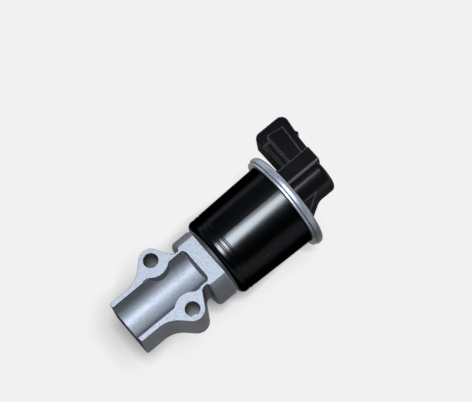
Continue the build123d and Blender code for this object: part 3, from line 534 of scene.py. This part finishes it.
def dress_nodes():
    """Gives each CAD node the material of its slot."""
    finishes = {slot: finish_with(slot, **look) for slot, look in PLAIN_FINISHES.items()}
    finishes["cast_alloy"] = blasted_alloy()
    finishes["can_paint"] = gloss_coating()
    finishes["ring_steel"] = rolled_ring_steel()
    finishes["cap_plastic"] = moulded_black()
    for subpart in frame["record"]["subparts"]:
        for face_slot in nodes[subpart["node"]].material_slots:
            face_slot.material = finishes[subpart["material_slot"]]
    return finishes


def shortening_spring(name, body, finish):
    """Wire of a spring, merged from its CAD node and hung on the body at its end that stays put; the real
    spring shortens as the valve lifts.
    """
    wire = bmesh.new()
    wire.from_mesh(nodes[name].data)
    bmesh.ops.remove_doubles(wire, verts=wire.verts, dist=MERGE_DISTANCE)
    for face in wire.faces:
        face.smooth = True
    mesh = bpy.data.meshes.new(name + "_wire")
    wire.to_mesh(mesh)
    wire.free()
    mesh.materials.clear()
    mesh.materials.append(finish)
    mesh.set_sharp_from_angle(angle=math.radians(SHARP_DEG))
    spring = bpy.data.objects.new(name + "_wire", mesh)
    bpy.context.scene.collection.objects.link(spring)
    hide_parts(name)
    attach(spring, body)
    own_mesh(spring)


def springs(finishes):
    """Both springs of the valve, copied as wires; in the valve the lifting pintle shortens them."""
    slots = {part["node"]: part["material_slot"] for part in frame["record"]["subparts"]}
    for joint in frame["record"]["behaviour"]["joints"]:
        for spring in joint.get("deforming_nodes", []):
            slot = slots[spring["node"]]
            shortening_spring(
                spring["node"],
                body=joint["parent"],
                finish=finishes[slot],
            )


def camera():
    """Camera at the photograph's place."""
    data = bpy.data.cameras.new("camera")
    data.lens = FOCAL_LENGTH_MM
    data.sensor_width = SENSOR_WIDTH_MM
    data.sensor_fit = "HORIZONTAL"
    data.clip_start = CLIP_NEAR
    data.clip_end = CLIP_FAR
    eye = bpy.data.objects.new("camera", data)
    eye.location = CAMERA_PLACE
    sight = (CAMERA_TARGET - CAMERA_PLACE).to_track_quat("-Z", "Y")
    eye.rotation_mode = "QUATERNION"
    eye.rotation_quaternion = sight @ Quaternion((0, 0, 1), math.radians(CAMERA_ROLL_DEG))
    bpy.context.scene.collection.objects.link(eye)
    bpy.context.scene.camera = eye


def overhead_lamp():
    """Rectangular soft lamp that looks down at the valve."""
    data = bpy.data.lights.new("overhead_softbox", "AREA")
    data.shape = "RECTANGLE"
    data.size = LAMP_WIDTH
    data.size_y = LAMP_LENGTH
    data.energy = LAMP_WATTS
    lamp = bpy.data.objects.new("overhead_softbox", data)
    lamp.location = LAMP_PLACE
    lamp.rotation_mode = "QUATERNION"
    lamp.rotation_quaternion = (LAMP_TARGET - LAMP_PLACE).to_track_quat("-Z", "Y")
    bpy.context.scene.collection.objects.link(lamp)


def seen_directly(tree):
    """Kinds of light path, and a factor of 1 for what the camera, gloss and glass see."""
    rays = tree.nodes.new("ShaderNodeLightPath").outputs
    camera_or_gloss = calculated(tree, "MAXIMUM", rays["Is Camera Ray"], rays["Is Glossy Ray"])
    return rays, calculated(tree, "MAXIMUM", camera_or_gloss, rays["Is Transmission Ray"])


def mixed_shader(tree, factor, first, second):
    """Shader that goes from the first to the second with a factor."""
    mix = tree.nodes.new("ShaderNodeMixShader")
    join(tree, factor, mix, "Fac")
    join(tree, first, mix, 1)
    join(tree, second, mix, 2)
    return mix.outputs["Shader"]


def openness(tree, reach, lean, power):
    """How open the table is towards a leaning sky, within a reach: 1 in the open, and 0 under the valve."""
    towards = tree.nodes.new("ShaderNodeCombineXYZ")
    for axis, part in zip("XYZ", lean):
        towards.inputs[axis].default_value = part
    nearness = tree.nodes.new("ShaderNodeAmbientOcclusion")
    nearness.samples = 16
    nearness.inputs["Distance"].default_value = reach
    join(tree, towards.outputs["Vector"], nearness, "Normal")
    return calculated(tree, "POWER", nearness.outputs["AO"], power)


def table_paper():
    """Paper white with a tight painted contact shadow, greyer to bounced light, and clear from underneath.
    """
    material = bpy.data.materials.new("table_paper")
    material.use_nodes = True
    tree = material.node_tree
    paper = tree.nodes["Principled BSDF"]
    paper.inputs["Base Color"].default_value = TABLE_GREY
    paper.inputs["Roughness"].default_value = TABLE_ROUGHNESS
    # painted shadow: the table's glow is darkened by ambient occlusion near the valve, not by the lamp's
    # shadow
    contact = openness(tree, CONTACT_REACH, CONTACT_LEAN, CONTACT_POWER)
    shade = openness(tree, SHADE_REACH, SHADE_LEAN, SHADE_POWER)
    light = calculated(tree, "MULTIPLY", contact, shade)
    glow = tree.nodes.new("ShaderNodeEmission")
    join(tree, between(tree, light, BLACK, PAPER_WHITE), glow, "Color")
    rays, seen = seen_directly(tree)
    top = mixed_shader(tree, seen, paper.outputs["BSDF"], glow.outputs["Emission"])
    # from underneath the table is clear, so that the valve's mounting face can be seen
    underneath = tree.nodes.new("ShaderNodeNewGeometry").outputs["Backfacing"]
    clear = tree.nodes.new("ShaderNodeBsdfTransparent").outputs["BSDF"]
    hidden = calculated(tree, "MULTIPLY", underneath, rays["Is Camera Ray"])
    join(tree, mixed_shader(tree, hidden, top, clear), tree.nodes["Material Output"], "Surface")
    return material


def floor():
    """Pale table under the valve, which lies on its ring and on the front edge of its can."""
    ring_low, ring_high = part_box("crimp_ring")
    ring_foot = Vector(((ring_low.x + ring_high.x) / 2, 0, ring_low.z))
    along = (ring_foot - CAN_FOOT).normalized() * TABLE_REACH
    across = Vector((0, TABLE_REACH, 0))
    middle = (ring_foot + CAN_FOOT) / 2
    plane = bmesh.new()
    corners = []
    for a, b in ((-1, -1), (1, -1), (1, 1), (-1, 1)):
        corners.append(plane.verts.new(middle + along * a + across * b))
    plane.faces.new(corners)
    mesh = bpy.data.meshes.new("table")
    plane.to_mesh(mesh)
    plane.free()
    table = bpy.data.objects.new("table", mesh)
    bpy.context.scene.collection.objects.link(table)
    mesh.materials.append(table_paper())


def background(tree, colour, strength=1.0):
    """Light of one colour from all round."""
    node = tree.nodes.new("ShaderNodeBackground")
    node.inputs["Color"].default_value = colour
    node.inputs["Strength"].default_value = strength
    return node.outputs["Background"]


def surroundings():
    """World that is paper white to the camera, and to gloss near the horizon, and a dim room elsewhere."""
    world = bpy.data.worlds.new("studio")
    bpy.context.scene.world = world
    world.use_nodes = True
    tree = world.node_tree
    tree.nodes.clear()
    paper = background(tree, PAPER_WHITE)
    room = background(tree, ROOM_BLUE, ROOM_STRENGTH)
    rays, seen = seen_directly(tree)
    height = split(tree, coordinates(tree, "Generated"))["Z"]
    low = span(tree, height, 1.0, 0.0, BACKDROP_LOW, BACKDROP_HIGH)
    backdrop = calculated(tree, "MULTIPLY", seen, low)
    white = calculated(tree, "MAXIMUM", backdrop, rays["Is Camera Ray"])
    out = tree.nodes.new("ShaderNodeOutputWorld")
    join(tree, mixed_shader(tree, white, room, paper), out, "Surface")


finishes = dress_nodes()
springs(finishes)
camera()
surroundings()
floor()
overhead_lamp()

bpy.context.scene.view_settings.view_transform = "Standard"
